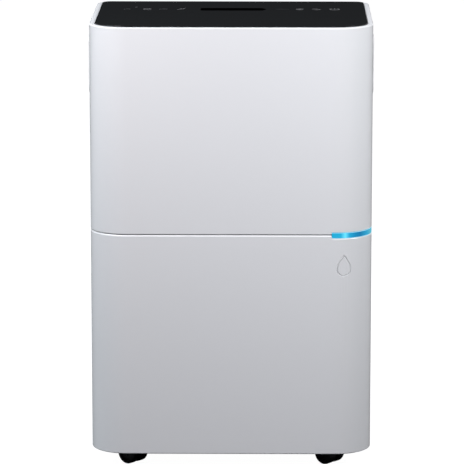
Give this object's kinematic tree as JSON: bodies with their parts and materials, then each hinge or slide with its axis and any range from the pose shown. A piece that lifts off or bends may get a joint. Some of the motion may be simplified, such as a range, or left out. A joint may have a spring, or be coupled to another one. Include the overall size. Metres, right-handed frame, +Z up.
{
  "type": "dehumidifier",
  "caption": "Upright room dehumidifier on swivel casters with a pull-out water bucket, glossy flush top control panel, side grips, light strip and rear air filter",
  "frame": {"origin": "on the floor, under the middle of the machine's bounding box", "axes": "+Z up, -Y out of the front panel, +X to the right as seen from the front"},
  "size_m": [0.3856, 0.282, 0.6146],
  "materials": {
    "black_gloss": "polished black control surface",
    "board_green": "circuit board",
    "caster_black": "black nylon",
    "compressor_black": "satin black paint",
    "copper": "copper tube",
    "cyan_light": "glowing light guide",
    "fan_plastic": "grey moulding",
    "filter_grey": "dark nylon net",
    "fin_aluminium": "bare fins",
    "float_foam": "white foam",
    "grey_plastic": "mid-grey inner moulding",
    "motor_steel": "plain steel can",
    "rubber": "black rubber",
    "screw_steel": "zinc plated",
    "switch_black": "black switch body",
    "tub_plastic": "pale grey tub",
    "white_plastic": "satin white moulding"
  },
  "bodies": {
    "chassis": {"base_pan": "grey_plastic", "rear_housing": "white_plastic", "front_upper_panel": "white_plastic", "top_cover": "white_plastic", "control_panel": "black_gloss", "display_board": "board_green", "led_bar": "cyan_light", "led_board": "board_green", "handle_left": "white_plastic", "handle_right": "white_plastic", "outlet_grille": "white_plastic", "drain_port": "grey_plastic", "cord_gland": "rubber", "bay_frame": "grey_plastic", "drip_tray": "grey_plastic", "bucket_switch": "switch_black", "compressor": "compressor_black", "accumulator": "compressor_black", "condenser": "fin_aluminium", "evaporator": "fin_aluminium", "discharge_pipe": "copper", "suction_pipe": "copper", "liquid_pipe": "copper", "capillary_tube": "copper", "filter_drier": "copper", "fan_volute": "grey_plastic", "fan_motor": "motor_steel", "control_box": "grey_plastic", "main_board": "board_green", "run_capacitor": "fan_plastic", "humidity_sensor": "board_green", "compressor_grommet_1": "rubber", "compressor_grommet_2": "rubber", "compressor_grommet_3": "rubber", "rear_screw_base_left": "screw_steel", "rear_screw_base_right": "screw_steel", "rear_screw_deck_left": "screw_steel", "rear_screw_deck_right": "screw_steel", "rear_screw_top_left": "screw_steel", "rear_screw_top_right": "screw_steel"},
    "bucket": {"bucket_front": "white_plastic", "bucket_tub": "tub_plastic", "bucket_lid": "white_plastic"},
    "bucket_handle": {"bucket_handle": "grey_plastic"},
    "bucket_float": {"bucket_float": "float_foam"},
    "filter_cassette": {"intake_grille": "white_plastic", "filter_mesh": "filter_grey"},
    "drain_cap": {"drain_cap": "grey_plastic"},
    "fan_wheel": {"fan_impeller": "fan_plastic"},
    "switch_lever": {"switch_lever": "screw_steel"},
    "swivel_front_left": {"caster_front_left_swivel": "caster_black"},
    "wheels_front_left": {"caster_front_left_wheels": "caster_black"},
    "swivel_front_right": {"caster_front_right_swivel": "caster_black"},
    "wheels_front_right": {"caster_front_right_wheels": "caster_black"},
    "swivel_rear_left": {"caster_rear_left_swivel": "caster_black"},
    "wheels_rear_left": {"caster_rear_left_wheels": "caster_black"},
    "swivel_rear_right": {"caster_rear_right_swivel": "caster_black"},
    "wheels_rear_right": {"caster_rear_right_wheels": "caster_black"}
  },
  "joints": [
    {"name": "bucket_slide", "type": "slide", "parent": "chassis", "child": "bucket", "axis": [0, -1, 0], "range_m": [0, 0.15]},
    {"name": "bucket_handle_fold", "type": "hinge", "parent": "bucket", "child": "bucket_handle", "pos_m": [0, -0.085, 0.2796], "axis": [-1, 0, 0], "range_deg": [0, 90]},
    {"name": "float_lift", "type": "hinge", "parent": "bucket", "child": "bucket_float", "pos_m": [0.115, -0.03, 0.258], "axis": [-1, 0, 0], "range_deg": [0, 9]},
    {"name": "filter_pull", "type": "slide", "parent": "chassis", "child": "filter_cassette", "axis": [0, 1, 0], "range_m": [0, 0.06]},
    {"name": "drain_cap_pull", "type": "slide", "parent": "chassis", "child": "drain_cap", "axis": [0, 1, 0], "range_m": [0, 0.04]},
    {"name": "fan_spin", "type": "hinge", "parent": "chassis", "child": "fan_wheel", "pos_m": [0, 0.025, 0.457], "axis": [0, 1, 0], "continuous": true},
    {"name": "switch_press", "type": "hinge", "parent": "chassis", "child": "switch_lever", "pos_m": [0.106, -0.0183, 0.301], "axis": [1, 0, 0], "range_deg": [0, 8], "stiffness_Nm_per_rad": 0.002},
    {"name": "swivel_front_left", "type": "hinge", "parent": "chassis", "child": "swivel_front_left", "pos_m": [-0.12911, -0.08879, 0.04], "axis": [0, 0, 1], "continuous": true},
    {"name": "roll_front_left", "type": "hinge", "parent": "swivel_front_left", "child": "wheels_front_left", "pos_m": [-0.136, -0.083, 0.0155], "axis": [0.6428, 0.766, 0], "continuous": true},
    {"name": "swivel_front_right", "type": "hinge", "parent": "chassis", "child": "swivel_front_right", "pos_m": [0.14289, -0.08879, 0.04], "axis": [0, 0, 1], "continuous": true},
    {"name": "roll_front_right", "type": "hinge", "parent": "swivel_front_right", "child": "wheels_front_right", "pos_m": [0.136, -0.083, 0.0155], "axis": [0.6428, 0.766, 0], "continuous": true},
    {"name": "swivel_rear_left", "type": "hinge", "parent": "chassis", "child": "swivel_rear_left", "pos_m": [-0.12911, 0.07722, 0.04], "axis": [0, 0, 1], "continuous": true},
    {"name": "roll_rear_left", "type": "hinge", "parent": "swivel_rear_left", "child": "wheels_rear_left", "pos_m": [-0.136, 0.083, 0.0155], "axis": [0.6428, 0.766, 0], "continuous": true},
    {"name": "swivel_rear_right", "type": "hinge", "parent": "chassis", "child": "swivel_rear_right", "pos_m": [0.14289, 0.07722, 0.04], "axis": [0, 0, 1], "continuous": true},
    {"name": "roll_rear_right", "type": "hinge", "parent": "swivel_rear_right", "child": "wheels_rear_right", "pos_m": [0.136, 0.083, 0.0155], "axis": [0.6428, 0.766, 0], "continuous": true}
  ]
}
